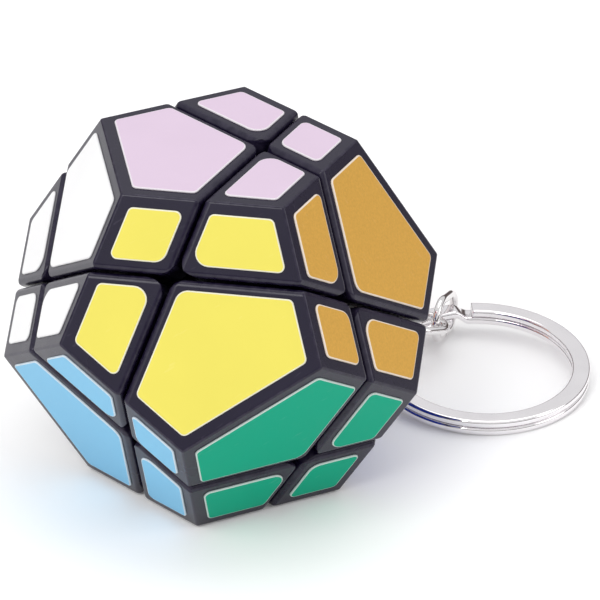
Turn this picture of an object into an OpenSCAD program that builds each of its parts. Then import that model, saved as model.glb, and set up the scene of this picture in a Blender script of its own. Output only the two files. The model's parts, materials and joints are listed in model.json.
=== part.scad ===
// Dodecahedron twisty puzzle on a chain and a split ring.
// Four cuts through the centre divide it into eight corner pieces and six
// ridge pieces. Every piece is a hollow outer shell on an inner foot, and the
// feet interlock around a core ball. Four of the corner pieces are held on
// sprung screws; the other four and the ridges are held by their feet alone.
// The half around the corner piece named in turning_axis turns on its screw.

/* [Body] */
// Distance between opposite faces, over the stickers
across_flats = 40; // [30:1:60]
// Gap between neighbouring pieces along a cut
cut_gap = 0.3; // [0.2:0.05:0.5]
// Wall of an outer shell under a sticker
shell_wall = 1.4; // [1:0.1:2]
// Wall of an outer shell along a cut
side_wall = 1.2; // [1:0.1:2]

/* [Stickers] */
// Thickness of a sticker
sticker_t = 0.2; // [0.1:0.05:0.4]
// Plastic showing between a sticker and an edge of the solid
edge_border = 1.35; // [1:0.05:2.5]
// Plastic showing between a sticker and a cut
cut_border = 1.35; // [1:0.05:2.5]
// Radius of a sticker's corners
corner_r = 0.7; // [0.2:0.1:1.5]
// Radius of the corner that points at a face's crossing
crossing_r = 1.5; // [0.5:0.1:3]

/* [Mechanism] */
// Radius of the core ball
core_r = 6; // [5:0.5:8]
// Radius at which the feet end and the shells begin
foot_r = 11; // [10:0.5:13]
// Thickness of a foot's base plate
plate_t = 1.6; // [1:0.1:2.5]
// Angle that a foot reaches past a cut, under its neighbour
foot_reach = 7; // [4:0.5:9]

/* [Screws and springs] */
// Radius of a screw's shank
shank_r = 0.7; // [0.5:0.05:1]
// Radius of a screw's head
head_r = 1.6; // [1.2:0.1:2]
// Distance from the centre to the underside of a head
head_at = 15.9; // [14:0.1:17]
// Radius of a spring's wire
spring_wire_r = 0.17; // [0.1:0.01:0.3]
// Turns of a spring
spring_turns = 4; // [3:1:8]

/* [Chain and ring] */
// Radius of the wire of the eye and the links
wire_r = 0.5; // [0.4:0.05:0.8]
// Clear length inside a link
link_inner = 5.1; // [4:0.1:8]
// Clear width inside a link
link_gap = 3.1; // [2.5:0.1:4]
// Clear length inside the end link, which holds the ring
end_inner = 6.3; // [6:0.1:8]
// Clear width inside the end link
end_gap = 3.6; // [3.4:0.1:4.5]
// Outer radius of the split ring
ring_r = 12.5; // [12:0.5:14]
// Width of the split ring's flat wire
ring_band = 2.1; // [1.5:0.1:2.2]
// Height of the split ring's two turns together
ring_height = 1.9; // [1.6:0.1:2]

/* [Hidden] */
$fn = 64;

golden = (1 + sqrt(5)) / 2;
lean = atan(1 / golden);
skin = across_flats / 2 - sticker_t;
// Half the side of the cube on whose corners the corner pieces' tips lie
unit = skin * sqrt(golden + 2) / (golden * golden);
reach = 40;

// Directions of the pieces, from the centre, in the cube's own axes. The first
// four corners are held on screws.
CORNERS = [
    [1, -1, 1], [1, 1, -1], [-1, 1, 1], [-1, -1, -1],
    [1, 1, 1], [-1, -1, 1], [1, -1, -1], [-1, 1, -1]
];
SCREWED = [for (k = [0:3]) CORNERS[k]];
RIDGES = [[1, 0, 0], [0, -1, 0], [0, 0, 1], [-1, 0, 0], [0, 1, 0], [0, 0, -1]];
turning_axis = CORNERS[0];
eye_corner = CORNERS[1];
FACES = [
    for (a = [-1, 1], b = [-golden, golden], k = [0:2])
        [for (j = [0:2]) [a, 0, b][(j - k + 3) % 3]]
];

function unit_of(v) = v / norm(v);
function faces_of(dir) = [for (f = FACES) if (f * dir > 0.9) f];
function cuts_of(dir) = [for (c = CORNERS) if (c * dir == 1) c];

// The puzzle stands on one face; the origin is the middle of that face.
module on_table() {
    translate([0, 0, across_flats / 2])
        rotate([0, -lean, 0])
            children();
}

// Turns +Z to a direction.
module aim(dir) {
    rotate([0, acos(dir.z / norm(dir)), atan2(dir.y, dir.x)])
        children();
}

// Everything further than d along a direction.
module beyond(dir, d) {
    aim(dir)
        translate([-reach, -reach, d])
            cube(2 * reach);
}

// The space of one piece, closed in by planes alone: its faces of the solid
// at the given distance, and its cuts moved in by a gap.
module plane_cell(dir, face_at, gap) {
    intersection() {
        intersection_for (f = faces_of(dir))
            beyond(-f, -face_at);
        intersection_for (c = cuts_of(dir))
            beyond(c, gap);
    }
}

// The cone under a screwed corner's half, which the feet of that half follow.
module under_cone(axis, shift) {
    steep = tan(90 - foot_reach);
    low = 0.3;
    high = foot_r + 3;
    aim(-axis)
        translate([0, 0, shift])
            translate([0, 0, low])
                cylinder(h = high - low, r1 = low * steep, r2 = high * steep);
}

// The space of one piece's foot: the cones of the screwed corners around it.
module foot_cell(dir) {
    gap = cut_gap / 2 / cos(foot_reach);
    above = [for (c = SCREWED) if (c * dir == 1) c];
    below = [for (c = SCREWED) if (c * dir == -1) c];
    difference() {
        intersection() {
            sphere(foot_r + plate_t / 2);
            for_below(below, gap);
        }
        for (c = above)
            under_cone(c, -gap);
    }
}

module for_below(list, gap) {
    if (len(list) > 0)
        intersection_for (c = list)
            under_cone(c, gap);
    else
        sphere(2 * foot_r);
}

// The hollow outer part of a piece, open towards the centre.
module shell(dir) {
    color([0.13, 0.12, 0.15])
        difference() {
            plane_cell(dir, skin, cut_gap / 2);
            sphere(foot_r + cut_gap / 2);
            plane_cell(dir, skin - shell_wall, cut_gap / 2 + side_wall);
        }
}

// The inner part of a piece: a base plate that closes the shell, and a foot
// that reaches under the neighbours.
module foot(dir) {
    inset = cut_gap / 2 + side_wall;
    difference() {
        union() {
            difference() {
                intersection() {
                    plane_cell(dir, skin, inset);
                    sphere(foot_r + plate_t);
                }
                sphere(foot_r + cut_gap / 2);
            }
            intersection() {
                plane_cell(dir, skin, inset);
                foot_cell(dir);
            }
            intersection() {
                foot_cell(dir);
                sphere(foot_r - cut_gap / 2);
            }
        }
        sphere(core_r + cut_gap);
    }
}

module corner_shell(k) {
    on_table()
        difference() {
            shell(CORNERS[k - 1]);
            if (CORNERS[k - 1] == eye_corner)
                eye_seat();
        }
}

module ridge_shell(k) {
    on_table()
        shell(RIDGES[k - 1]);
}

module corner_foot(k) {
    dir = CORNERS[k - 1];
    bore_r = shank_r + 0.15;
    color([0.24, 0.24, 0.26])
        on_table()
            difference() {
                foot(dir);
                if (k <= 4)
                    aim(dir)
                        cylinder(h = 20, r = bore_r);
            }
}

module ridge_foot(k) {
    color([0.24, 0.24, 0.26])
        on_table()
            foot(RIDGES[k - 1]);
}

// --- core, screws, washers and springs ---

module core() {
    color([0.85, 0.85, 0.82])
        on_table()
            difference() {
                sphere(core_r);
                for (c = SCREWED)
                    aim(c)
                        translate([0, 0, 1.6])
                            cylinder(h = core_r, r = shank_r + 0.02);
            }
}

// A pan-head screw with a cross slot.
module screw() {
    head_t = 1.2;
    end_at = 2;
    slot_t = 0.5;
    difference() {
        union() {
            translate([0, 0, end_at])
                cylinder(h = head_at - end_at, r = shank_r);
            translate([0, 0, head_at])
                cylinder(h = head_t, r = head_r);
        }
        for (turn = [0, 90])
            rotate([0, 0, turn])
                translate([-1, -slot_t / 2, head_at + head_t / 2])
                    cube([2, slot_t, head_t]);
    }
}

module screws() {
    color([0.75, 0.76, 0.78])
        on_table()
            for (c = SCREWED)
                aim(c)
                    screw();
}

washer_t = 0.3;
washer_r = head_r + 0.3;

module washers() {
    color([0.8, 0.78, 0.7])
        on_table()
            for (c = SCREWED)
                aim(c)
                    translate([0, 0, head_at - washer_t])
                        difference() {
                            cylinder(h = washer_t, r = washer_r);
                            translate([0, 0, -1])
                                cylinder(h = 2, r = shank_r + 0.05);
                        }
}

// A coil of round wire from height low to height high.
module coil_spring(low, high) {
    sides = 6;
    steps = 18 * spring_turns;
    coil_r = head_r - 2 * spring_wire_r;
    rise = high - low - 2 * spring_wire_r;
    function spot(i, j) =
        let (
            turn = 360 * spring_turns * i / steps,
            out = coil_r + spring_wire_r * cos(360 * j / sides),
            up = low + spring_wire_r + rise * i / steps
        )
        [out * cos(turn), out * sin(turn), up + spring_wire_r * sin(360 * j / sides)];
    points = [for (i = [0:steps], j = [0:sides - 1]) spot(i, j)];
    walls = [
        for (i = [0:steps - 1], j = [0:sides - 1])
            let (a = i * sides, n = (j + 1) % sides)
                [a + j, a + sides + j, a + sides + n, a + n]
    ];
    ends = [
        [for (j = [0:sides - 1]) j],
        [for (j = [sides - 1:-1:0]) steps * sides + j]
    ];
    polyhedron(points = points, faces = concat(walls, ends));
}

module springs() {
    color([0.7, 0.7, 0.72])
        on_table()
            for (c = SCREWED)
                aim(c)
                    coil_spring(foot_r + plate_t + cut_gap, head_at - washer_t);
}

// --- stickers ---

// Corners of a face, in the face's own plane, and the marks that the cuts make.
face_r = unit * 2 / sqrt(golden + 2);
function face_corner(k) = face_r * [cos(72 * k), sin(72 * k)];
function face_mid(k) = (face_corner(k) + face_corner(k + 1)) / 2;
crossing = [face_corner(1).x, 0];

// Each region's outline, anticlockwise, and the direction of its piece.
REGIONS = [
    [[face_corner(2), face_corner(3), face_mid(3), crossing, face_mid(1)], [0, 0, 1]],
    [[face_corner(1), face_mid(1), crossing, face_mid(0)], [1, 1, 1]],
    [[face_corner(4), face_mid(4), crossing, face_mid(3)], [1, -1, 1]],
    [[face_corner(0), face_mid(0), crossing, face_mid(4)], [1, 0, 0]]
];

// An edge lies on a cut when one of its ends is the crossing.
function is_cut(a, b) = norm(a - crossing) < 0.01 || norm(b - crossing) < 0.01;
function border_of(a, b) = is_cut(a, b) ? cut_border : edge_border;

// The corner between two edges, each moved in by its own border.
function inset_corner(a, b, c) =
    let (
        u = unit_of(a - b),
        v = unit_of(c - b),
        sine = abs(u.x * v.y - u.y * v.x)
    )
    b + u * border_of(b, c) / sine + v * border_of(a, b) / sine;

function inset_outline(p) = [
    for (k = [0:len(p) - 1])
        inset_corner(p[(k + len(p) - 1) % len(p)], p[k], p[(k + 1) % len(p)])
];

// An outline with an arc at each corner; the one nearest the crossing is wider.
function round_corner(a, b, c, r, steps) =
    let (
        u = unit_of(a - b),
        v = unit_of(c - b),
        half = acos(u * v) / 2,
        centre = b + unit_of(u + v) * r / sin(half),
        from = b + u * r / tan(half) - centre,
        side = u.x * v.y - u.y * v.x > 0 ? -1 : 1
    )
    [for (i = [0:steps])
        let (turn = side * (180 - 2 * half) * i / steps)
        centre + [
            from.x * cos(turn) - from.y * sin(turn),
            from.x * sin(turn) + from.y * cos(turn)
        ]];

function round_outline(p) = [
    for (k = [0:len(p) - 1])
        let (r = norm(p[k] - crossing) < 4 ? crossing_r : corner_r)
        each round_corner(p[(k + len(p) - 1) % len(p)], p[k], p[(k + 1) % len(p)], r, 5)
];

// Carries a shape drawn on the face [1, 0, golden] to another face: flips are
// the signs for X and Z, and turns are thirds of a turn about a cube corner.
module to_face(turns, flips) {
    rotate(120 * turns, [1, 1, 1])
        mirror([flips.x < 0 ? 1 : 0, 0, 0])
            mirror([0, 0, flips.y < 0 ? 1 : 0])
                rotate([0, lean, 0])
                    translate([0, 0, skin])
                        children();
}

function carried(dir, turns, flips) =
    let (d = [dir.x * flips.x, dir.y, dir.z * flips.y])
    [for (j = [0:2]) d[(j - turns + 3) % 3]];

// The stickers of one face on the turning half (side 1) or the fixed half (side -1).
module stickers(tint, turns, flips, side) {
    color(tint)
        on_table()
            to_face(turns, flips)
                for (region = REGIONS)
                    if (carried(region[1], turns, flips) * turning_axis * side > 0)
                        linear_extrude(sticker_t)
                            polygon(round_outline(inset_outline(region[0])));
}

module stickers_lavender() { stickers([0.78, 0.63, 0.8], 0, [1, 1], 1); }
module stickers_purple() { stickers([0.36, 0.16, 0.5], 0, [-1, -1], -1); }
module stickers_white_turning() { stickers([0.95, 0.95, 0.95], 0, [-1, 1], 1); }
module stickers_white_fixed() { stickers([0.95, 0.95, 0.95], 0, [-1, 1], -1); }
module stickers_navy_turning() { stickers([0.1, 0.2, 0.55], 0, [1, -1], 1); }
module stickers_navy_fixed() { stickers([0.1, 0.2, 0.55], 0, [1, -1], -1); }
module stickers_gold() { stickers([0.8, 0.6, 0.26], 1, [-1, 1], 1); }
module stickers_silver() { stickers([0.7, 0.71, 0.73], 1, [1, -1], -1); }
module stickers_pink_turning() { stickers([0.93, 0.5, 0.65], 1, [1, 1], 1); }
module stickers_pink_fixed() { stickers([0.93, 0.5, 0.65], 1, [1, 1], -1); }
module stickers_blue_turning() { stickers([0.5, 0.76, 0.9], 1, [-1, -1], 1); }
module stickers_blue_fixed() { stickers([0.5, 0.76, 0.9], 1, [-1, -1], -1); }
module stickers_yellow() { stickers([0.95, 0.9, 0.4], 2, [1, -1], 1); }
module stickers_orange() { stickers([0.95, 0.5, 0.12], 2, [-1, 1], -1); }
module stickers_green_turning() { stickers([0, 0.62, 0.5], 2, [-1, -1], 1); }
module stickers_green_fixed() { stickers([0, 0.62, 0.5], 2, [-1, -1], -1); }
module stickers_red_turning() { stickers([0.75, 0.1, 0.12], 2, [1, 1], 1); }
module stickers_red_fixed() { stickers([0.75, 0.1, 0.12], 2, [1, 1], -1); }

// --- eye, chain and split ring ---

// Distances from the centre, along the eye's corner
tip_at = skin / 0.794654;
flat_at = tip_at - 0.9;
collar_t = 0.9;
eye_ring_r = 1.6;
eye_at = flat_at + collar_t + wire_r + eye_ring_r;
eye_shank_r = 0.6;

// Directions on the table: outwards at the eye, and level along its face
function on_row(v) = [
    (golden * v.x - v.z) / sqrt(golden + 2),
    v.y,
    (v.x + golden * v.z) / sqrt(golden + 2)
];
eye_out = unit_of(on_row(eye_corner));
eye_centre = [0, 0, across_flats / 2] + eye_at * eye_out;
eye_level = unit_of([eye_out.x, eye_out.y, 0]);

// The room that the eye takes in its corner piece
module eye_seat() {
    aim(eye_corner) {
        cylinder(h = reach, r = eye_shank_r);
        translate([0, 0, flat_at])
            cylinder(h = 4, r = 4);
    }
}

// Turns +X to along and +Z as near as it can be to normal, about a centre.
module place(centre, along, normal) {
    d = unit_of(along);
    n = unit_of(normal - (normal * d) * d);
    w = cross(n, d);
    multmatrix([
        [d.x, w.x, n.x, centre.x],
        [d.y, w.y, n.y, centre.y],
        [d.z, w.z, n.z, centre.z],
        [0, 0, 0, 1]
    ])
        children();
}

module screw_eye() {
    shank_from = 20.5;
    color([0.82, 0.82, 0.84]) {
        on_table()
            aim(eye_corner) {
                translate([0, 0, shank_from])
                    cylinder(h = eye_at - eye_ring_r - shank_from, r = eye_shank_r);
                translate([0, 0, flat_at])
                    cylinder(h = collar_t, r = 1.1);
            }
        place(eye_centre, eye_out, cross(eye_level, [0, 0, 1]))
            rotate_extrude()
                translate([eye_ring_r, 0])
                    circle(wire_r, $fn = 32);
    }
}

// A link in the XY plane, long in X, with its clear length and width.
module link(inner, gap) {
    bend_r = gap / 2 + wire_r;
    straight = inner - gap;
    color([0.82, 0.82, 0.84])
        for (side = [-1, 1]) {
            translate([side * straight / 2, 0, 0])
                rotate([0, 0, -90 * side])
                    rotate_extrude(angle = 180)
                        translate([bend_r, 0])
                            circle(wire_r, $fn = 32);
            translate([-straight / 2, side * bend_r, 0])
                rotate([0, 90, 0])
                    cylinder(h = straight, r = wire_r, $fn = 32);
        }
}

// The chain's places: where each link bears on the next, from the eye to the
// ring. The end link stands on edge on the table, dips away from the chain and
// goes round the ring, which leans on it.
pull = 15;
slack = 0.3;
pitch = link_inner - slack;
end_pitch = end_inner - slack;
ring_centre = [32.5, 13, 0];
ring_lean = 4;
grip_angle = 97;
grip_room = 0.72;
end_heading = 62;
end_dip = 15;
end_clear = 0.02;
third_twist = 27;

up = [0, 0, 1];
eye_tangent = cos(pull) * eye_level + sin(pull) * up;
eye_across = cross(up, eye_level);
hang_from = eye_centre + (eye_ring_r - wire_r) * (sin(pull) * eye_level - cos(pull) * up);

grip_level = [cos(grip_angle), sin(grip_angle), 0];
ring_out = cos(ring_lean) * grip_level + sin(ring_lean) * up;
ring_axis = cos(ring_lean) * up - sin(ring_lean) * grip_level;
ring_edge = ring_centre - ring_r * grip_level + 2 * ring_r * ring_out
    + ring_height / 2 * ring_axis;

end_level = [cos(end_heading), sin(end_heading), 0];
end_across = [-sin(end_heading), cos(end_heading), 0];
end_along = cos(end_dip) * end_level - sin(end_dip) * up;
end_bend = (end_inner - end_gap) / 2;
end_height = end_gap / 2 + 2 * wire_r + end_clear + end_bend * sin(end_dip);
end_middle = [ring_edge.x, ring_edge.y, 0] + grip_room * end_level
    - end_inner / 2 * cos(end_dip) * end_level + end_height * up;
grip_at = end_middle + end_pitch / 2 * end_along;
end_from = end_middle - end_pitch / 2 * end_along;

// Two middle places: the chain hangs in a bow between its ends.
span = end_from - hang_from;
bow_along = (norm(span) - pitch) / 2;
bow_down = sqrt(pitch * pitch - bow_along * bow_along);
span_dir = unit_of(span);
sag_dir = unit_of(span_dir.z * span_dir - up);
place_1 = hang_from + bow_along * span_dir + bow_down * sag_dir;
place_2 = place_1 + pitch * span_dir;
third_flat = unit_of(cross(end_across, span_dir));
third_normal = cos(third_twist) * third_flat
    + sin(third_twist) * cross(span_dir, third_flat);

module link_between(a, b, normal) {
    place((a + b) / 2, b - a, normal)
        link(link_inner, link_gap);
}

module link_1() { link_between(hang_from, place_1, eye_tangent); }
module link_2() { link_between(place_1, place_2, eye_across); }
module link_3() { link_between(place_2, end_from, third_normal); }
module link_4() {
    place(end_middle, end_along, end_across)
        link(end_inner, end_gap);
}

// The split ring: two turns of flat wire, with a slot between them. One end of
// each turn is free, and a step joins the other two. It rests on the table
// opposite the end link.
module split_ring() {
    slot_t = 0.1;
    slot_low = (ring_height - slot_t) / 2;
    step_angle = 9;
    open_angle = 2;
    step_at = 88;
    module sweep_cut(from, angle, low, high) {
        rotate([0, 0, from])
            rotate_extrude(angle = angle)
                translate([ring_r - ring_band - 1, low])
                    square([ring_band + 2, high - low]);
    }
    color([0.84, 0.84, 0.86])
        translate(ring_centre)
            rotate([0, 0, grip_angle])
                translate([-ring_r, 0, 0])
                    rotate([0, -ring_lean, 0])
                        translate([ring_r, 0, 0])
                            rotate([0, 0, step_at - grip_angle])
                                difference() {
                                    rotate_extrude()
                                        translate([ring_r - ring_band, 0])
                                            square([ring_band, ring_height]);
                                    sweep_cut(
                                        step_angle + 0.5, 359 - step_angle,
                                        slot_low, slot_low + slot_t
                                    );
                                    sweep_cut(
                                        step_angle, open_angle,
                                        -1, slot_low + slot_t / 2
                                    );
                                    sweep_cut(
                                        -open_angle, open_angle,
                                        slot_low + slot_t / 2, ring_height + 1
                                    );
                                }
}

core();
screws();
washers();
springs();
corner_shell(1);  // corner_shell_1
corner_shell(2);  // corner_shell_2
corner_shell(3);  // corner_shell_3
corner_shell(4);  // corner_shell_4
corner_shell(5);  // corner_shell_5
corner_shell(6);  // corner_shell_6
corner_shell(7);  // corner_shell_7
corner_shell(8);  // corner_shell_8
corner_foot(1);  // corner_foot_1
corner_foot(2);  // corner_foot_2
corner_foot(3);  // corner_foot_3
corner_foot(4);  // corner_foot_4
corner_foot(5);  // corner_foot_5
corner_foot(6);  // corner_foot_6
corner_foot(7);  // corner_foot_7
corner_foot(8);  // corner_foot_8
ridge_shell(1);  // ridge_shell_1
ridge_shell(2);  // ridge_shell_2
ridge_shell(3);  // ridge_shell_3
ridge_shell(4);  // ridge_shell_4
ridge_shell(5);  // ridge_shell_5
ridge_shell(6);  // ridge_shell_6
ridge_foot(1);  // ridge_foot_1
ridge_foot(2);  // ridge_foot_2
ridge_foot(3);  // ridge_foot_3
ridge_foot(4);  // ridge_foot_4
ridge_foot(5);  // ridge_foot_5
ridge_foot(6);  // ridge_foot_6
stickers_lavender();
stickers_yellow();
stickers_gold();
stickers_purple();
stickers_orange();
stickers_silver();
stickers_white_turning();
stickers_white_fixed();
stickers_green_turning();
stickers_green_fixed();
stickers_blue_turning();
stickers_blue_fixed();
stickers_red_turning();
stickers_red_fixed();
stickers_navy_turning();
stickers_navy_fixed();
stickers_pink_turning();
stickers_pink_fixed();
screw_eye();
link_1();
link_2();
link_3();
link_4();
split_ring();
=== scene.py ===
import itertools
import json
import math

import bmesh
import bpy
from mathutils import Matrix, Vector


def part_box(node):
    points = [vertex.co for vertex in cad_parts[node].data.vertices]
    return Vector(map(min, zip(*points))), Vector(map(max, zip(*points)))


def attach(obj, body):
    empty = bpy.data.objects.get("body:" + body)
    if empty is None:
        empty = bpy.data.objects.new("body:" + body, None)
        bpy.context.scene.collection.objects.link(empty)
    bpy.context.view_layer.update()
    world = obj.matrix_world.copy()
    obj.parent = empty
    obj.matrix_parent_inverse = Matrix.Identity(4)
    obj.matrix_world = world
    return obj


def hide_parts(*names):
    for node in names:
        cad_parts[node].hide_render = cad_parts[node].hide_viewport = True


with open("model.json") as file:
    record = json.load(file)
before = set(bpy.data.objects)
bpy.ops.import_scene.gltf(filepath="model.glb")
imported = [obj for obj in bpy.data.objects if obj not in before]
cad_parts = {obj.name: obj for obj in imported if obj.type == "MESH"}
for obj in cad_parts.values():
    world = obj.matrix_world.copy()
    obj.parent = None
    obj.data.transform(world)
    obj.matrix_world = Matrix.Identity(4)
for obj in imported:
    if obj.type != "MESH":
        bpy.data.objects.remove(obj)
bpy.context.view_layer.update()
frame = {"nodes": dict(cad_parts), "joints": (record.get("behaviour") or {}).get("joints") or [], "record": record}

MM = 0.001

# ---------------------------------------------------------------- dimensions

GOLDEN = (1 + math.sqrt(5)) / 2
BODY_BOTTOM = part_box("stickers_purple")[0].z
BODY_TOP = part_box("stickers_lavender")[1].z
STICKER_T = 0.2 * MM
SKIN = (BODY_TOP - BODY_BOTTOM) / 2 - STICKER_T
BODY_CENTRE = Vector((0, 0, (BODY_TOP + BODY_BOTTOM) / 2))
HALF_GAP = 0.15 * MM
FOOT_R = 11 * MM

EDGE_BORDER = 1.35 * MM
CUT_BORDER = 1.35 * MM
STICKER_CORNER_R = 0.7 * MM
STICKER_CROSSING_R = 1.5 * MM

WIRE_R = 0.5 * MM
# Clear length and width inside a link, and inside the end link on the ring
LINK_CLEAR = (5.1 * MM, 3.1 * MM)
END_LINK_CLEAR = (6.3 * MM, 3.6 * MM)
RING_BAND = 2.1 * MM
RING_HEIGHT = 1.9 * MM
COIL_GAP = 0.05 * MM
RING_R = (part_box("split_ring")[1].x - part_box("split_ring")[0].x) / 2

# The body's own axes are those of a cube whose corners are the corner pieces'
# tips. It leans so that one face is underneath.
LEAN = Matrix.Rotation(-math.atan(1 / GOLDEN), 3, "Y")
CORNERS = [
    Vector(c)
    for c in (
        (1, -1, 1), (1, 1, -1), (-1, 1, 1), (-1, -1, -1),
        (1, 1, 1), (-1, -1, 1), (1, -1, -1), (-1, 1, -1),
    )
]
RIDGES = [
    Vector(c)
    for c in ((1, 0, 0), (0, -1, 0), (0, 0, 1), (-1, 0, 0), (0, 1, 0), (0, 0, -1))
]
TURNING_AXIS = CORNERS[0]
EYE_CORNER = CORNERS[1]


def third_turns(v, turns):
    """A direction carried round a cube corner by thirds of a turn."""
    return Vector([v[(j - turns) % 3] for j in range(3)])


FACES = [
    third_turns((a, 0, b * GOLDEN), turns)
    for a in (-1, 1)
    for b in (-1, 1)
    for turns in range(3)
]


def on_table(point):
    """A point in the body's own axes, taken to where the body stands."""
    return BODY_CENTRE + LEAN @ Vector(point)


def body_of_piece(direction):
    return "turning_half" if direction.dot(TURNING_AXIS) > 0 else "fixed_half"


joints = {j["name"]: j for j in frame["joints"]}


def joint_place(name):
    return Vector(joints[name]["pos_m"]), Vector(joints[name]["axis"]).normalized()


# ------------------------------------------------------------------ mesh help


def make_object(name, mesh):
    obj = bpy.data.objects.new(name, mesh)
    bpy.context.scene.collection.objects.link(obj)
    return obj


def finished_mesh(obj):
    """Applies an object's modifiers and keeps the result."""
    depsgraph = bpy.context.evaluated_depsgraph_get()
    mesh = bpy.data.meshes.new_from_object(obj.evaluated_get(depsgraph))
    obj.modifiers.clear()
    obj.data = mesh
    return obj


def dress(obj, node, body, slot, *materials):
    """Gives a piece its materials, hangs it on the body that carries it and hides the CAD part it stands for."""
    for material in materials:
        obj.data.materials.append(material)
    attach(obj, body)
    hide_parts(node)


def swept(name, path, section, closed):
    """A mesh whose section, given as points, is placed at each frame of a path.
    A frame is (centre, out, up), and the section's points are (out, up) pairs."""
    vertices = [
        centre + out * u + up * v for centre, out, up in path for u, v in section
    ]
    around = len(section)
    count = len(path)
    faces = []
    for i in range(count if closed else count - 1):
        here, there = i * around, (i + 1) % count * around
        for j in range(around):
            k = (j + 1) % around
            faces.append((here + j, there + j, there + k, here + k))
    if not closed:
        faces.append(tuple(range(around)))
        faces.append(tuple(reversed(range((count - 1) * around, count * around))))
    mesh = bpy.data.meshes.new(name)
    mesh.from_pydata(vertices, [], faces)
    bm = bmesh.new()
    bm.from_mesh(mesh)
    bmesh.ops.recalc_face_normals(bm, faces=bm.faces)
    bm.to_mesh(mesh)
    bm.free()
    mesh.shade_smooth()
    return make_object(name, mesh)


def round_section(radius, sides):
    steps = [2 * math.pi * j / sides for j in range(sides)]
    return [(radius * math.cos(a), radius * math.sin(a)) for a in steps]


def rounded_box_section(width, height, radius, steps):
    """A rectangle's outline with round corners, about its middle."""
    points = []
    for quarter, (sx, sy) in enumerate(((1, 1), (-1, 1), (-1, -1), (1, -1))):
        for i in range(steps + 1):
            a = math.pi / 2 * (quarter + i / steps)
            points.append(
                (
                    sx * (width / 2 - radius) + radius * math.cos(a),
                    sy * (height / 2 - radius) + radius * math.sin(a),
                )
            )
    return points


# -------------------------------------------------------------- node building


class Shader:
    """A material with a Principled shader, and short ways to add nodes to it."""

    def __init__(self, name):
        self.material = bpy.data.materials.new(name)
        self.material.use_nodes = True
        self.tree = self.material.node_tree
        self.surface = self.tree.nodes["Principled BSDF"]

    def node(self, kind, **settings):
        return add_node(self.tree, kind, **settings)

    def link(self, source, target):
        self.tree.links.new(source, target)

    def set(self, **values):
        for socket, value in values.items():
            self.surface.inputs[socket.replace("_", " ")].default_value = value

    def group(self, group, **values):
        node = self.tree.nodes.new("ShaderNodeGroup")
        node.node_tree = group
        for socket, value in values.items():
            node.inputs[socket.replace("_", " ")].default_value = value
        return node

    def bump(self, height, strength, distance):
        node = self.node("ShaderNodeBump")
        node.inputs["Strength"].default_value = strength
        node.inputs["Distance"].default_value = distance
        self.link(height, node.inputs["Height"])
        self.link(node.outputs["Normal"], self.surface.inputs["Normal"])

    def ramp_value(self, source, low, high):
        node = self.node("ShaderNodeMapRange")
        node.inputs["To Min"].default_value = low
        node.inputs["To Max"].default_value = high
        self.link(source, node.inputs["Value"])
        return node.outputs["Result"]

    def mix_colour(self, mask, first, second):
        return mix_colour_in(self.tree, mask, first, second)


def add_node(tree, kind, **settings):
    node = tree.nodes.new(kind)
    for key, value in settings.items():
        setattr(node, key, value)
    return node


def new_group(name, inputs, outputs):
    """A node group, with its input and output nodes."""
    tree = bpy.data.node_groups.new(name, "ShaderNodeTree")
    for socket, value in inputs.items():
        made = tree.interface.new_socket(
            socket, in_out="INPUT", socket_type="NodeSocketFloat"
        )
        made.default_value = value
    for socket in outputs:
        tree.interface.new_socket(
            socket, in_out="OUTPUT", socket_type="NodeSocketFloat"
        )
    return tree, tree.nodes.new("NodeGroupInput"), tree.nodes.new("NodeGroupOutput")


def noise_in(tree, position, scale, detail):
    node = add_node(tree, "ShaderNodeTexNoise")
    node.inputs["Detail"].default_value = detail
    tree.links.new(position, node.inputs["Vector"])
    tree.links.new(scale, node.inputs["Scale"])
    return node.outputs["Fac"]


def feed(tree, socket, value):
    """Links a socket to another one, or sets it to a plain value."""
    if isinstance(value, bpy.types.NodeSocket):
        tree.links.new(value, socket)
    else:
        socket.default_value = value


def math_in(tree, operation, first, second):
    node = add_node(tree, "ShaderNodeMath", operation=operation)
    for socket, value in zip(node.inputs, (first, second)):
        feed(tree, socket, value)
    return node.outputs[0]


def colour_sockets(sockets):
    return [socket for socket in sockets if socket.type == "RGBA"]


def mix_colour_in(tree, mask, first, second):
    """From the first colour, where the mask is 0, to the second, where it is 1."""
    node = add_node(tree, "ShaderNodeMix", data_type="RGBA")
    for socket, value in zip(colour_sockets(node.inputs), (first, second)):
        plain = isinstance(value, tuple)
        feed(tree, socket, (*value, 1) if plain else value)
    tree.links.new(mask, node.inputs["Factor"])
    return colour_sockets(node.outputs)[0]


def make_moulded_grain():
    """Fine spark texture of moulded plastic, and slow cloudy tone."""
    tree, given, put = new_group(
        "moulded_grain", {"Grain Scale": 6000, "Cloud Scale": 150}, ("Height", "Cloud")
    )
    where = add_node(tree, "ShaderNodeTexCoord").outputs["Object"]
    grain = noise_in(tree, where, given.outputs["Grain Scale"], 3)
    cloud = noise_in(tree, where, given.outputs["Cloud Scale"], 2)
    tree.links.new(grain, put.inputs["Height"])
    tree.links.new(cloud, put.inputs["Cloud"])
    return tree


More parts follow.
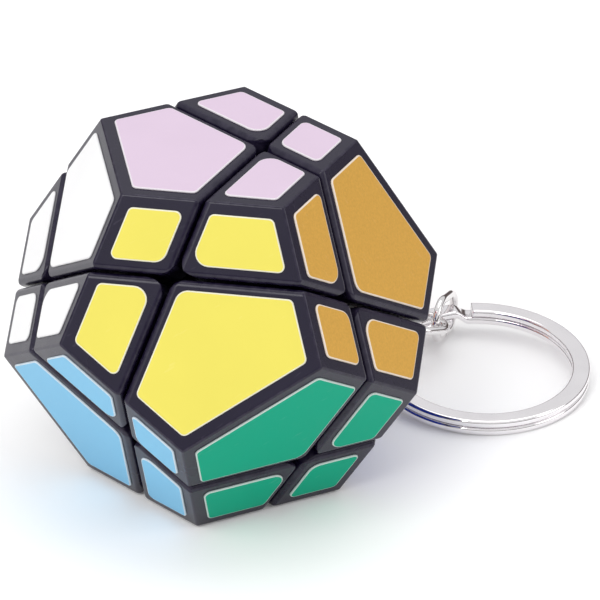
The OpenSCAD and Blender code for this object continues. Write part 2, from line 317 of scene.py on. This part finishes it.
def make_hairline_scuffs():
    """Sparse short scratches: thin bands of a stretched, warped noise."""
    tree, given, put = new_group(
        "hairline_scuffs", {"Scale": 500, "Amount": 0.5}, ("Scuffs",)
    )
    where = add_node(tree, "ShaderNodeTexCoord").outputs["Object"]
    stretch = add_node(tree, "ShaderNodeMapping")
    stretch.inputs["Rotation"].default_value = (0.6, 0.9, 0.3)
    stretch.inputs["Scale"].default_value = (1, 9, 1)
    tree.links.new(where, stretch.inputs["Vector"])
    lines = noise_in(tree, stretch.outputs[0], given.outputs["Scale"], 2)
    patches = noise_in(tree, where, given.outputs["Scale"], 1)
    thin = add_node(tree, "ShaderNodeMapRange")
    thin.inputs["From Min"].default_value = 0.66
    thin.inputs["From Max"].default_value = 0.74
    tree.links.new(lines, thin.inputs["Value"])
    here = math_in(tree, "GREATER_THAN", patches, 0.5)
    both = math_in(tree, "MULTIPLY", thin.outputs[0], here)
    tree.links.new(
        math_in(tree, "MULTIPLY", both, given.outputs["Amount"]), put.inputs["Scuffs"]
    )
    return tree


def make_edge_wear():
    """Rubbed edges: the mesh's own edge mark, broken up by noise."""
    tree, given, put = new_group("edge_wear", {"Scale": 900, "Amount": 0.5}, ("Wear",))
    where = add_node(tree, "ShaderNodeTexCoord").outputs["Object"]
    mark = add_node(tree, "ShaderNodeAttribute", attribute_name="edge").outputs["Fac"]
    patches = noise_in(tree, where, given.outputs["Scale"], 4)
    broken = add_node(tree, "ShaderNodeMapRange")
    broken.inputs["From Min"].default_value = 0.35
    broken.inputs["From Max"].default_value = 0.7
    tree.links.new(patches, broken.inputs["Value"])
    wear = math_in(tree, "MULTIPLY", mark, broken.outputs[0])
    tree.links.new(
        math_in(tree, "MULTIPLY", wear, given.outputs["Amount"]), put.inputs["Wear"]
    )
    return tree


moulded_grain = make_moulded_grain()
hairline_scuffs = make_hairline_scuffs()
edge_wear = make_edge_wear()

# ------------------------------------------------------------------ materials

# Height of the grain on moulded and plated surfaces, and on sticker film
GRAIN_DEPTH = 0.01 * MM
FILM_GRAIN_DEPTH = 0.006 * MM
SCRATCH_COLOUR = (0.9, 0.88, 0.86)


def plastic(name, colour, worn_colour, roughness, grain_strength):
    """Moulded plastic: cloudy tone, spark grain, scuffs and rubbed edges."""
    shader = Shader(name)
    shader.set(IOR=1.5, Specular_IOR_Level=0.36)
    grain = shader.group(moulded_grain, Grain_Scale=5200, Cloud_Scale=140)
    scuffs = shader.group(hairline_scuffs, Scale=420, Amount=0.35)
    wear = shader.group(edge_wear, Scale=1100, Amount=0.45)
    darker = tuple(c * 0.78 for c in colour)
    tone = shader.mix_colour(grain.outputs["Cloud"], darker, colour)
    rubbed = math_in(
        shader.tree, "MAXIMUM", wear.outputs["Wear"], scuffs.outputs["Scuffs"]
    )
    shader.link(
        shader.mix_colour(rubbed, tone, worn_colour),
        shader.surface.inputs["Base Color"],
    )
    shader.link(
        shader.ramp_value(grain.outputs["Cloud"], roughness - 0.05, roughness + 0.08),
        shader.surface.inputs["Roughness"],
    )
    shader.bump(grain.outputs["Height"], grain_strength, GRAIN_DEPTH)
    return shader.material


def vinyl(name, colour, metallic=0.0):
    """Printed sticker film under a clear satin coat. A metallic film also has
    fine bright flakes."""
    shader = Shader(name)
    shader.set(IOR=1.4, Specular_IOR_Level=0.1, Coat_Weight=0.03, Coat_Roughness=0.3)
    grain = shader.group(moulded_grain, Grain_Scale=3800, Cloud_Scale=110)
    scuffs = shader.group(hairline_scuffs, Scale=380, Amount=0.16)
    spread = 0.72 if metallic else 0.93
    darker = tuple(c * spread for c in colour)
    mask = grain.outputs["Height"] if metallic else grain.outputs["Cloud"]
    tone = shader.mix_colour(mask, darker, colour)
    paler = tuple(c + (1 - c) * 0.2 for c in colour)
    shader.link(
        shader.mix_colour(scuffs.outputs["Scuffs"], tone, paler),
        shader.surface.inputs["Base Color"],
    )
    base = 0.36 if metallic else 0.42
    shader.link(
        shader.ramp_value(grain.outputs["Cloud"], base - 0.04, base + 0.08),
        shader.surface.inputs["Roughness"],
    )
    if metallic:
        shader.link(
            shader.ramp_value(grain.outputs["Height"], metallic - 0.2, metallic + 0.1),
            shader.surface.inputs["Metallic"],
        )
    shader.bump(grain.outputs["Height"], 0.3 if metallic else 0.12, FILM_GRAIN_DEPTH)
    return shader.material


def metal(name, colour, roughness, scratch=0.3):
    """Plated or drawn metal, with a slow haze and fine scratches."""
    shader = Shader(name)
    shader.set(Metallic=1.0)
    grain = shader.group(moulded_grain, Grain_Scale=2600, Cloud_Scale=260)
    scuffs = shader.group(hairline_scuffs, Scale=700, Amount=scratch)
    darker = tuple(c * 0.86 for c in colour)
    tone = shader.mix_colour(grain.outputs["Cloud"], darker, colour)
    shader.link(
        shader.mix_colour(scuffs.outputs["Scuffs"], tone, SCRATCH_COLOUR),
        shader.surface.inputs["Base Color"],
    )
    haze = math_in(
        shader.tree, "ADD",
        shader.ramp_value(grain.outputs["Cloud"], roughness * 0.7, roughness * 1.4),
        shader.ramp_value(scuffs.outputs["Scuffs"], 0, 0.2),
    )
    shader.link(haze, shader.surface.inputs["Roughness"])
    shader.bump(grain.outputs["Height"], 0.08, GRAIN_DEPTH)
    return shader.material


black_plastic = plastic(
    "black_plastic", (0.008, 0.005, 0.022), (0.045, 0.038, 0.065), 0.25, 0.2
)
foot_plastic = plastic(
    "foot_plastic", (0.06, 0.06, 0.066), (0.14, 0.14, 0.15), 0.45, 0.3
)
core_plastic = plastic("core_plastic", (0.68, 0.67, 0.62), (0.8, 0.8, 0.76), 0.4, 0.2)
screw_steel = metal("screw_steel", (0.62, 0.63, 0.65), 0.28)
washer_steel = metal("washer_steel", (0.66, 0.64, 0.58), 0.34)
spring_steel = metal("spring_steel", (0.5, 0.5, 0.52), 0.25)
link_nickel = metal("link_nickel", (0.88, 0.86, 0.86), 0.1)
ring_nickel = metal("ring_nickel", (0.93, 0.905, 0.92), 0.08)

INKS = {
    "lavender": (0.66, 0.53, 0.655),
    "yellow": (0.79, 0.7, 0.124),
    "gold": (0.77, 0.43, 0.084),
    "purple": (0.1, 0.025, 0.22),
    "orange": (0.87, 0.22, 0.02),
    "silver": (0.5, 0.51, 0.53),
    "white": (0.9, 0.9, 0.9),
    "green": (0.0, 0.37, 0.22),
    "blue": (0.235, 0.55, 0.79),
    "red": (0.55, 0.01, 0.015),
    "navy": (0.01, 0.03, 0.25),
    "pink": (0.85, 0.2, 0.36),
}
METALLIC_INKS = {"gold": 0.25, "silver": 0.7}
# How far a sticker's rim goes from its ink's colour to a pale tone: a painted highlight, standing in for light
# caught on the film's cut edge
RIM_HIGHLIGHT_TONE = 0.8
RIM_HIGHLIGHT_AMOUNT = 0.7
films = {
    name: vinyl("vinyl_" + name, colour, METALLIC_INKS.get(name, 0.0))
    for name, colour in INKS.items()
}
film_rims_painted_highlight = {
    name: vinyl("vinyl_rim_painted_highlight_" + name, tuple(c + (RIM_HIGHLIGHT_TONE - c) * RIM_HIGHLIGHT_AMOUNT for c in colour))
    for name, colour in INKS.items()
}

# --------------------------------------------------------------- outer shells

# Radii of the rounded edges
RIM_R = 0.4 * MM
CUT_EDGE_R = 0.7 * MM
CROSSING_EDGE_R = 1.9 * MM
EDGE_RADII = {
    ("face", "face"): RIM_R, ("cut", "face"): CUT_EDGE_R,
    ("cut", "cut"): CROSSING_EDGE_R,
}
EDGE_STEPS = 5
# Nearer than this, two places are the same
TOUCHING = 0.001 * MM


def plane_corners(planes):
    """Where the planes of a convex cell meet: each corner and the planes on it."""
    corners = []
    for trio in itertools.combinations(range(len(planes)), 3):
        rows = Matrix([planes[k][0] for k in trio])
        if abs(rows.determinant()) < 1e-6:
            continue
        spot = rows.inverted() @ Vector([planes[k][1] for k in trio])
        if any(n.dot(spot) > d + TOUCHING for n, d, _ in planes):
            continue
        if all((spot - other).length > TOUCHING for other in corners):
            corners.append(spot)
    return corners


def tangent_length(radius, normal_a, normal_b):
    """How far a rounded edge of that radius reaches along its two faces."""
    between = math.pi - normal_a.angle(normal_b)
    return radius / math.tan(between / 2)


def shell_planes(direction):
    """The faces, cuts and floor that bound a shell: (normal, distance, kind)."""
    planes = [
        (f.normalized(), SKIN, "face") for f in FACES if f.dot(direction) > 0.9
    ]
    planes += [
        (-c.normalized(), -HALF_GAP, "cut")
        for c in CORNERS
        if abs(c.dot(direction) - 1) < 0.1
    ]
    floor_at = FOOT_R + HALF_GAP
    planes.append((-direction.normalized(), -floor_at, "floor"))
    return planes


def polygon_on(plane, corners):
    """Which corners lie on a plane, in order round their middle."""
    normal, distance, _ = plane
    on_it = [
        k for k, c in enumerate(corners) if abs(normal.dot(c) - distance) < TOUCHING
    ]
    middle = sum((corners[k] for k in on_it), Vector()) / len(on_it)
    across = (corners[on_it[0]] - middle).normalized()
    along = normal.cross(across)

    def angle(k):
        arm = corners[k] - middle
        return math.atan2(arm.dot(along), arm.dot(across))

    return sorted(on_it, key=angle)


def edge_reaches(mesh, planes, faces):
    """How far each edge's rounding reaches along its faces. The floor's stay sharp."""
    reaches = []
    for edge in mesh.edges:
        one, other = [
            planes[k] for k, f in enumerate(faces) if set(edge.vertices) <= set(f)
        ]
        radius = EDGE_RADII.get(tuple(sorted((one[2], other[2]))), 0)
        reaches.append(tangent_length(radius, one[0], other[0]))
    return reaches


def round_edges(obj, reaches):
    """Rounds each edge by its own reach, as a weight on one bevel."""
    longest = max(reaches)
    weights = obj.data.attributes.new("bevel_weight_edge", "FLOAT", "EDGE")
    for weight, reach in zip(weights.data, reaches):
        weight.value = reach / longest
    bevel = obj.modifiers.new("round_edges", "BEVEL")
    bevel.limit_method = "WEIGHT"
    bevel.offset_type = "OFFSET"
    bevel.width = longest
    bevel.segments = EDGE_STEPS
    bevel.harden_normals = True
    finished_mesh(obj)


def mark_edges(mesh, planes):
    """Marks what is off the flat faces, for the wear on the edges."""
    mark = mesh.attributes.new("edge", "FLOAT", "POINT")
    for k, vertex in enumerate(mesh.vertices):
        flat = any(abs(n.dot(vertex.co) - d) < TOUCHING for n, d, _ in planes)
        mark.data[k].value = 0.0 if flat else 1.0


def shell_piece(name, direction):
    """A piece's outer shell: a convex cell of its faces and cuts, with round
    edges, and a flat floor over its foot."""
    planes = shell_planes(direction)
    corners = plane_corners(planes)
    faces = [polygon_on(plane, corners) for plane in planes]
    mesh = bpy.data.meshes.new(name)
    mesh.from_pydata(corners, [], faces)
    mesh.shade_smooth()
    obj = make_object(name, mesh)
    round_edges(obj, edge_reaches(mesh, planes, faces))
    mark_edges(obj.data, planes)
    obj.data.transform(Matrix.Translation(BODY_CENTRE) @ LEAN.to_4x4())
    return obj


for family, directions in (("corner", CORNERS), ("ridge", RIDGES)):
    for k, direction in enumerate(directions, 1):
        node = f"{family}_shell_{k}"
        shell = shell_piece("outer_" + node, direction)
        dress(shell, node, body_of_piece(direction), "black_plastic", black_plastic)

# ------------------------------------------------------------------- stickers

# From a face's middle to its corners
FACE_R = 2 * SKIN / GOLDEN**2


def face_corner(k):
    angle = math.radians(72 * k)
    return FACE_R * Vector((math.cos(angle), math.sin(angle)))


def face_middle(k):
    return (face_corner(k) + face_corner(k + 1)) / 2


# Where a face's two cuts cross
CROSSING = Vector((face_corner(1).x, 0))
# A sticker's corner within this of the crossing has the larger rounding
BY_CROSSING = 4 * MM
# Each region's outline, and the direction of the piece that carries it
REGIONS = (
    ((face_corner(2), face_corner(3), face_middle(3), CROSSING, face_middle(1)), (0, 0, 1)),
    ((face_corner(1), face_middle(1), CROSSING, face_middle(0)), (1, 1, 1)),
    ((face_corner(4), face_middle(4), CROSSING, face_middle(3)), (1, -1, 1)),
    ((face_corner(0), face_middle(0), CROSSING, face_middle(4)), (1, 0, 0)),
)


def border_between(a, b):
    on_cut = min((a - CROSSING).length, (b - CROSSING).length) < TOUCHING
    return CUT_BORDER if on_cut else EDGE_BORDER


def inset(outline):
    """The outline moved in, each edge by its own border."""
    moved = []
    for k, here in enumerate(outline):
        before, after = outline[k - 1], outline[(k + 1) % len(outline)]
        u, v = (before - here).normalized(), (after - here).normalized()
        sine = abs(u.x * v.y - u.y * v.x)
        moved.append(
            here
            + u * border_between(here, after) / sine
            + v * border_between(before, here) / sine
        )
    return moved


def rounded(outline, shrink, steps=7):
    """The outline with an arc at each corner, all of it moved in by shrink."""
    points = []
    for k, here in enumerate(outline):
        before, after = outline[k - 1], outline[(k + 1) % len(outline)]
        near = (here - CROSSING).length < BY_CROSSING
        radius = STICKER_CROSSING_R if near else STICKER_CORNER_R
        u, v = (before - here).normalized(), (after - here).normalized()
        half = u.angle(v) / 2
        centre = here + (u + v).normalized() * radius / math.sin(half)
        first = here + u * radius / math.tan(half) - centre
        first *= (radius - shrink) / radius
        side = -1 if u.x * v.y - u.y * v.x > 0 else 1
        for i in range(steps + 1):
            turn = Matrix.Rotation(side * (math.pi - 2 * half) * i / steps, 2)
            points.append(centre + turn @ first)
    return points


# How far in and how far up the film each loop of its rolled edge lies
FILM_EDGE = ((0, 0), (0, 0.5), (0.05 * MM, 0.88), (0.15 * MM, 1))


def sticker_sheet(name, turns, flips, side):
    """One face's stickers on one half, as thin films with a rolled edge."""
    bm = bmesh.new()
    face_turn = Matrix.Rotation(math.atan(1 / GOLDEN), 3, "Y")

    def placed(point, height):
        spot = face_turn @ Vector((point.x, point.y, SKIN + height))
        spot.x *= flips[0]
        spot.z *= flips[1]
        return on_table(third_turns(spot, turns))

    for outline, piece in REGIONS:
        direction = third_turns(
            (piece[0] * flips[0], piece[1], piece[2] * flips[1]), turns
        )
        if direction.dot(TURNING_AXIS) * side < 0:
            continue
        flat = inset(outline)
        loops = [
            [bm.verts.new(placed(p, rise * STICKER_T)) for p in rounded(flat, shrink)]
            for shrink, rise in FILM_EDGE
        ]
        # The rim's walls and underside take the second material, the pale painted highlight
        for low, high in zip(loops, loops[1:]):
            for j in range(len(low)):
                k = (j + 1) % len(low)
                wall = bm.faces.new((low[j], low[k], high[k], high[j]))
                wall.material_index = 1
                wall.smooth = True
        bm.faces.new(loops[0]).material_index = 1
        bm.faces.new(loops[-1]).material_index = 0
    bmesh.ops.recalc_face_normals(bm, faces=bm.faces)
    mesh = bpy.data.meshes.new(name)
    bm.to_mesh(mesh)
    bm.free()
    return make_object(name, mesh)


# Each face's colour, the thirds of a turn and the flips that carry it there
FACE_COLOURS = (
    ("lavender", 0, (1, 1)), ("purple", 0, (-1, -1)),
    ("white", 0, (-1, 1)), ("navy", 0, (1, -1)),
    ("gold", 1, (-1, 1)), ("silver", 1, (1, -1)),
    ("pink", 1, (1, 1)), ("blue", 1, (-1, -1)),
    ("yellow", 2, (1, -1)), ("orange", 2, (-1, 1)),
    ("green", 2, (-1, -1)), ("red", 2, (1, 1)),
)
# A face that the cut crosses has a node on each half, and any other face has one
nodes_by_body = frame["record"]["behaviour"]["bodies"]
for colour, turns, flips in FACE_COLOURS:
    for side, half in ((1, "turning"), (-1, "fixed")):
        body = half + "_half"
        for node in (f"stickers_{colour}_{half}", f"stickers_{colour}"):
            if node not in nodes_by_body[body]:
                continue
            # Each sheet's second material paints a highlight on its rims
            sheet = sticker_sheet("film_" + node, turns, flips, side)
            dress(
                sheet, node, body, "vinyl_" + colour,
                films[colour], film_rims_painted_highlight[colour],
            )

# ---------------------------------------------------- eye, chain and split ring

LINKS = 4
LINK_SEAM = 0.06 * MM
WIRE_SIDES = 20


def stadium_path(centre, along, normal, clear, seam):
    """Frames along a link's wire, from one side of its seam to the other."""
    across = normal.cross(along)
    bend_r = clear[1] / 2 + WIRE_R
    straight = clear[0] - clear[1]
    bend_steps, straight_steps = 24, 6
    spots = []
    for end in (1, -1):
        for i in range(bend_steps):
            a = math.pi * (i / bend_steps - 0.5)
            out = end * (along * math.cos(a) + across * math.sin(a))
            spots.append((centre + end * along * straight / 2 + out * bend_r, out))
        for i in range(straight_steps):
            slide = straight * (0.5 - i / straight_steps)
            out = end * across
            spots.append((centre + end * along * slide + out * bend_r, out))
    # The seam is in the middle of the second straight side
    start = len(spots) - straight_steps // 2
    spots = spots[start:] + spots[:start] + [spots[start]]
    first, last = spots[0], spots[-1]
    spots[0] = (first[0] - along * seam / 2, first[1])
    spots[-1] = (last[0] + along * seam / 2, last[1])
    return [(spot, out, normal) for spot, out in spots]


def link_along(number):
    """A link's middle, direction and plane, from its solid and its joints."""
    low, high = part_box(f"link_{number}")
    centre = (low + high) / 2
    _, normal = joint_place(f"link_{number}_swing")
    if number < LINKS:
        onward, _ = joint_place(f"link_{number + 1}_swing")
        along = onward - centre
    else:
        # The end link stands on edge and slopes: its solid's height gives the dip
        outer_r = END_LINK_CLEAR[1] / 2 + 2 * WIRE_R
        sine = (high.z - low.z - 2 * outer_r) / (END_LINK_CLEAR[0] - END_LINK_CLEAR[1])
        level = Vector((0, 0, 1)).cross(normal)
        along = level * math.sqrt(1 - sine * sine) + Vector((0, 0, sine))
    along -= along.dot(normal) * normal
    return centre, along.normalized(), normal


for number in range(1, LINKS + 1):
    centre, along, normal = link_along(number)
    clear = LINK_CLEAR if number < LINKS else END_LINK_CLEAR
    wire = stadium_path(centre, along, normal, clear, LINK_SEAM)
    link = swept(f"chain_link_{number}", wire, round_section(WIRE_R, WIRE_SIDES), False)
    dress(link, f"link_{number}", f"link_{number}", "nickel", link_nickel)


# The flat wire's step from its low turn to its high one, and how far round from
# the step its two ends stop, in degrees
STEP_AT = 88
STEP_LENGTH = 9
START_GAP = 11
STOP_GAP = 2
RING_STEPS = 472
RING_EDGE_R = 0.36 * MM


def split_ring_path():
    """Two turns of flat wire: low, up a step, and high, about the ring's axis."""
    centre, axis = joint_place("ring_slide_round")
    out_x = (Vector((1, 0, 0)) - axis * axis.x).normalized()
    out_y = axis.cross(out_x)
    wire_t = (RING_HEIGHT - COIL_GAP) / 2
    low, high = -(RING_HEIGHT - wire_t) / 2, (RING_HEIGHT - wire_t) / 2
    start = STEP_AT + START_GAP
    step_from = STEP_AT + 360
    stop = STEP_AT + 720 - STOP_GAP
    path = []
    for i in range(RING_STEPS + 1):
        a = start + (stop - start) * i / RING_STEPS
        t = min(max((a - step_from) / STEP_LENGTH, 0), 1)
        rise = low + (high - low) * t * t * (3 - 2 * t)
        turn = math.radians(a)
        out = out_x * math.cos(turn) + out_y * math.sin(turn)
        path.append((centre + out * (RING_R - RING_BAND / 2) + axis * rise, out, axis))
    return path, wire_t


ring_path, ring_wire_t = split_ring_path()
ring = swept(
    "ring_of_flat_wire", ring_path,
    rounded_box_section(RING_BAND, ring_wire_t, RING_EDGE_R, 6), False,
)
dress(ring, "split_ring", "split_ring", "ring_nickel", ring_nickel)

# Distances along the eye's corner, from the body's centre
TIP_AT = SKIN / EYE_CORNER.normalized().dot(Vector((1, 0, -GOLDEN)).normalized())
FLAT_AT = TIP_AT - 0.9 * MM
COLLAR_T = 0.9 * MM
COLLAR_R = 1.1 * MM
SHANK_R = 0.58 * MM
SHANK_LENGTH = 3 * MM
# Nearly on the axis, so that a turned piece closes
AXIS_R = 0.05 * MM
EYE_R = 1.6 * MM
# How far round the eye's wire goes from the collar, short of closing, in degrees
EYE_SWEEP = 350


def lathe(name, profile, place, steps=48):
    """A turned piece: (radius, height) pairs spun about +Z, then placed."""
    path = []
    for i in range(steps):
        a = 2 * math.pi * i / steps
        path.append((Vector(), Vector((math.cos(a), math.sin(a), 0)), Vector((0, 0, 1))))
    obj = swept(name, path, profile, True)
    obj.data.transform(place)
    return obj


def screw_eye():
    outward = (LEAN @ EYE_CORNER).normalized()
    level = Vector((outward.x, outward.y, 0)).normalized()
    eye_at = FLAT_AT + COLLAR_T + WIRE_R + EYE_R
    centre = BODY_CENTRE + outward * eye_at
    side = level.cross(Vector((0, 0, 1))).normalized()
    ahead = side.cross(outward)
    path = []
    steps = 64
    for i in range(steps + 1):
        a = math.radians(180 + EYE_SWEEP * i / steps)
        out = outward * math.cos(a) + ahead * math.sin(a)
        path.append((centre + out * EYE_R, out, side))
    eye = swept("eye_loop", path, round_section(WIRE_R, WIRE_SIDES), False)
    aim = outward.to_track_quat("Z", "Y").to_matrix().to_4x4()
    place = Matrix.Translation(BODY_CENTRE) @ aim
    top = FLAT_AT + COLLAR_T
    profile = [
        (AXIS_R, FLAT_AT - SHANK_LENGTH), (SHANK_R, FLAT_AT - SHANK_LENGTH),
        (SHANK_R, FLAT_AT), (COLLAR_R - 0.1 * MM, FLAT_AT),
        (COLLAR_R, FLAT_AT + 0.1 * MM), (COLLAR_R, top - 0.2 * MM),
        (COLLAR_R - 0.2 * MM, top), (AXIS_R, top + 0.2 * MM),
    ]
    collar = lathe("eye_collar", profile, place)
    return eye, collar


for piece in screw_eye():
    dress(piece, "screw_eye", "fixed_half", "nickel", link_nickel)

# ----------------------------------------------- inner pieces kept from the CAD

INNER = {
    "core": core_plastic, "screws": screw_steel, "washers": washer_steel,
    "springs": spring_steel,
}
for name, obj in frame["nodes"].items():
    material = INNER.get(name) or (foot_plastic if "_foot_" in name else None)
    if material:
        obj.data.materials.clear()
        obj.data.materials.append(material)

# -------------------------------------------------------- floor, light, camera


def make_floor():
    size = 3.0
    mesh = bpy.data.meshes.new("table_top")
    mesh.from_pydata(
        [(-size, -size, 0), (size, -size, 0), (size, size, 0), (-size, size, 0)],
        [], [(0, 1, 2, 3)],
    )
    floor = make_object("table_top", mesh)
    shader = Shader("white_paper")
    shader.set(Roughness=0.6, Emission_Color=(1, 1, 1, 1), Emission_Strength=0.07)
    grain = shader.group(moulded_grain, Grain_Scale=900, Cloud_Scale=8)
    shader.link(
        shader.mix_colour(grain.outputs["Cloud"], (0.93, 0.93, 0.93), (0.96, 0.96, 0.96)),
        shader.surface.inputs["Base Color"],
    )
    mesh.materials.append(shader.material)


def make_light(name, place, size, power):
    """A round softbox that faces the body."""
    data = bpy.data.lights.new(name, "AREA")
    data.shape = "DISK"
    data.size = size
    data.energy = power
    obj = bpy.data.objects.new(name, data)
    bpy.context.scene.collection.objects.link(obj)
    obj.location = place
    aim = BODY_CENTRE - Vector(place)
    obj.rotation_euler = aim.to_track_quat("-Z", "Y").to_euler()


def make_world():
    """A pale studio. What the pieces reflect has a dark band low in the room."""
    world = bpy.data.worlds.new("studio")
    bpy.context.scene.world = world
    world.use_nodes = True
    tree = world.node_tree
    background = tree.nodes["Background"]
    where = add_node(tree, "ShaderNodeTexCoord").outputs["Generated"]
    split = add_node(tree, "ShaderNodeSeparateXYZ")
    tree.links.new(where, split.inputs[0])
    ramp = add_node(tree, "ShaderNodeValToRGB")
    stops = ramp.color_ramp.elements
    stops[0].position, stops[0].color = 0.0, (0.2, 0.17, 0.17, 1)
    stops[1].position, stops[1].color = 1.0, (1, 1, 1, 1)
    for place, colour in ((0.2, (0.1, 0.075, 0.07, 1)), (0.34, (0.95, 0.95, 0.97, 1))):
        stops.new(place).color = colour
    tree.links.new(split.outputs["Z"], ramp.inputs["Fac"])
    seen = add_node(tree, "ShaderNodeLightPath").outputs["Is Camera Ray"]
    shown = mix_colour_in(tree, seen, ramp.outputs["Color"], (1, 1, 1))
    tree.links.new(shown, background.inputs["Color"])
    background.inputs["Strength"].default_value = 0.85


CAMERA_TARGET = Vector((8.75, -0.95, 20.5)) * MM
CAMERA_FORWARD = Vector((0.1399, 0.8588, -0.4931)).normalized()
CAMERA_DISTANCE = 616.5 * MM
CAMERA_ROLL = math.radians(0.68)
CAMERA_LENS = 331.7


def make_camera():
    data = bpy.data.cameras.new("camera")
    data.sensor_width = 36
    data.lens = CAMERA_LENS
    data.clip_start = 0.01
    data.clip_end = 50
    obj = bpy.data.objects.new("camera", data)
    bpy.context.scene.collection.objects.link(obj)
    level = CAMERA_FORWARD.cross(Vector((0, 0, 1))).normalized()
    upward = level.cross(CAMERA_FORWARD)
    right = level * math.cos(CAMERA_ROLL) + upward * math.sin(CAMERA_ROLL)
    above = right.cross(CAMERA_FORWARD)
    turned = Matrix((right, above, -CAMERA_FORWARD)).transposed()
    place = CAMERA_TARGET - CAMERA_FORWARD * CAMERA_DISTANCE
    obj.matrix_world = Matrix.Translation(place) @ turned.to_4x4()
    bpy.context.scene.camera = obj


make_floor()
make_world()
make_light("key_softbox", (-0.35, -0.35, 0.5), size=0.4, power=2.0)
make_light("top_softbox", (0.1, 0.15, 0.7), size=0.6, power=1.0)
make_light("side_softbox", (0.6, -0.25, 0.3), size=0.4, power=0.6)
make_camera()

bpy.context.scene.view_settings.view_transform = "Standard"
